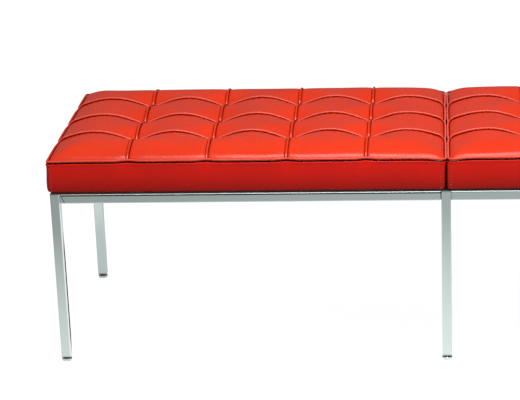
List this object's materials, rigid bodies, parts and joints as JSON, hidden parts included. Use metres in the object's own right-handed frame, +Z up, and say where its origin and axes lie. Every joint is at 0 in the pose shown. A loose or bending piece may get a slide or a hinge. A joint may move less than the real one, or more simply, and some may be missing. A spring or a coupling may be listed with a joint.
{
  "type": "upholstered bench",
  "caption": "Low two-seat bench: tufted, welted leather cushions on a square-tube chrome frame with legs that stand on levelling glides.",
  "frame": {"origin": "on the floor, at the middle of the bench's footprint", "axes": "+X along the bench, to the right as seen from the front; +Y from the front to the back; +Z up"},
  "size_m": [1.53, 0.484, 0.4389],
  "materials": {
    "polished_chrome": "polished chrome plate on steel tube",
    "foot_chrome": "polished chrome plate",
    "dark_steel": "blackened steel",
    "zinc_steel": "zinc plated",
    "nylon": "moulded white nylon",
    "top_leather": "satin red leather, fine grain",
    "band_leather": "satin red leather, fine grain, topstitched",
    "plywood": "birch plywood",
    "foam": "open-cell polyurethane foam",
    "twine": "waxed twine",
    "dust_cloth": "black spun-bonded cloth"
  },
  "bodies": {
    "frame": {"front_left_leg": "polished_chrome", "front_middle_leg": "polished_chrome", "front_right_leg": "polished_chrome", "rear_left_leg": "polished_chrome", "rear_middle_leg": "polished_chrome", "rear_right_leg": "polished_chrome", "front_left_rail": "polished_chrome", "front_right_rail": "polished_chrome", "rear_left_rail": "polished_chrome", "rear_right_rail": "polished_chrome", "left_cross_rail": "polished_chrome", "middle_cross_rail": "polished_chrome", "right_cross_rail": "polished_chrome", "rail_stubs": "polished_chrome", "rail_spigots": "dark_steel", "rail_screws": "dark_steel", "seat_brackets": "polished_chrome", "seat_screws": "dark_steel", "leg_plugs": "nylon", "left_seat_board": "plywood", "left_tee_nuts": "zinc_steel", "left_foam_core": "foam", "left_tufting_ties": "twine", "left_tie_buttons": "plywood", "left_dust_cover": "dust_cloth", "left_boxing": "band_leather", "left_top_piping": "top_leather", "left_tufted_pad": "top_leather", "left_long_welts": "top_leather", "left_short_welts": "top_leather", "right_seat_board": "plywood", "right_tee_nuts": "zinc_steel", "right_foam_core": "foam", "right_tufting_ties": "twine", "right_tie_buttons": "plywood", "right_dust_cover": "dust_cloth", "right_boxing": "band_leather", "right_top_piping": "top_leather", "right_tufted_pad": "top_leather", "right_long_welts": "top_leather", "right_short_welts": "top_leather"},
    "front_left_foot": {"front_left_glide_foot": "foot_chrome"},
    "front_left_stem": {"front_left_glide_stem": "dark_steel"},
    "front_middle_foot": {"front_middle_glide_foot": "foot_chrome"},
    "front_middle_stem": {"front_middle_glide_stem": "dark_steel"},
    "front_right_foot": {"front_right_glide_foot": "foot_chrome"},
    "front_right_stem": {"front_right_glide_stem": "dark_steel"},
    "rear_left_foot": {"rear_left_glide_foot": "foot_chrome"},
    "rear_left_stem": {"rear_left_glide_stem": "dark_steel"},
    "rear_middle_foot": {"rear_middle_glide_foot": "foot_chrome"},
    "rear_middle_stem": {"rear_middle_glide_stem": "dark_steel"},
    "rear_right_foot": {"rear_right_glide_foot": "foot_chrome"},
    "rear_right_stem": {"rear_right_glide_stem": "dark_steel"}
  },
  "joints": [
    {"name": "front_left_glide_height", "type": "slide", "parent": "frame", "child": "front_left_foot", "axis": [0, 0, -1], "range_m": [0, 0.01]},
    {"name": "front_left_stem_turn", "type": "hinge", "parent": "front_left_foot", "child": "front_left_stem", "pos_m": [-0.7545, -0.232, 0.008], "axis": [0, 0, -1], "range_deg": [0, 2880]},
    {"name": "front_middle_glide_height", "type": "slide", "parent": "frame", "child": "front_middle_foot", "axis": [0, 0, -1], "range_m": [0, 0.01]},
    {"name": "front_middle_stem_turn", "type": "hinge", "parent": "front_middle_foot", "child": "front_middle_stem", "pos_m": [0, -0.232, 0.008], "axis": [0, 0, -1], "range_deg": [0, 2880]},
    {"name": "front_right_glide_height", "type": "slide", "parent": "frame", "child": "front_right_foot", "axis": [0, 0, -1], "range_m": [0, 0.01]},
    {"name": "front_right_stem_turn", "type": "hinge", "parent": "front_right_foot", "child": "front_right_stem", "pos_m": [0.7545, -0.232, 0.008], "axis": [0, 0, -1], "range_deg": [0, 2880]},
    {"name": "rear_left_glide_height", "type": "slide", "parent": "frame", "child": "rear_left_foot", "axis": [0, 0, -1], "range_m": [0, 0.01]},
    {"name": "rear_left_stem_turn", "type": "hinge", "parent": "rear_left_foot", "child": "rear_left_stem", "pos_m": [-0.7545, 0.232, 0.008], "axis": [0, 0, -1], "range_deg": [0, 2880]},
    {"name": "rear_middle_glide_height", "type": "slide", "parent": "frame", "child": "rear_middle_foot", "axis": [0, 0, -1], "range_m": [0, 0.01]},
    {"name": "rear_middle_stem_turn", "type": "hinge", "parent": "rear_middle_foot", "child": "rear_middle_stem", "pos_m": [0, 0.232, 0.008], "axis": [0, 0, -1], "range_deg": [0, 2880]},
    {"name": "rear_right_glide_height", "type": "slide", "parent": "frame", "child": "rear_right_foot", "axis": [0, 0, -1], "range_m": [0, 0.01]},
    {"name": "rear_right_stem_turn", "type": "hinge", "parent": "rear_right_foot", "child": "rear_right_stem", "pos_m": [0.7545, 0.232, 0.008], "axis": [0, 0, -1], "range_deg": [0, 2880]}
  ],
  "couplings": [
    {"joint": "front_left_stem_turn", "follows": "front_left_glide_height", "rad_per_m": 5026.5},
    {"joint": "front_middle_stem_turn", "follows": "front_middle_glide_height", "rad_per_m": 5026.5},
    {"joint": "front_right_stem_turn", "follows": "front_right_glide_height", "rad_per_m": 5026.5},
    {"joint": "rear_left_stem_turn", "follows": "rear_left_glide_height", "rad_per_m": 5026.5},
    {"joint": "rear_middle_stem_turn", "follows": "rear_middle_glide_height", "rad_per_m": 5026.5},
    {"joint": "rear_right_stem_turn", "follows": "rear_right_glide_height", "rad_per_m": 5026.5}
  ]
}
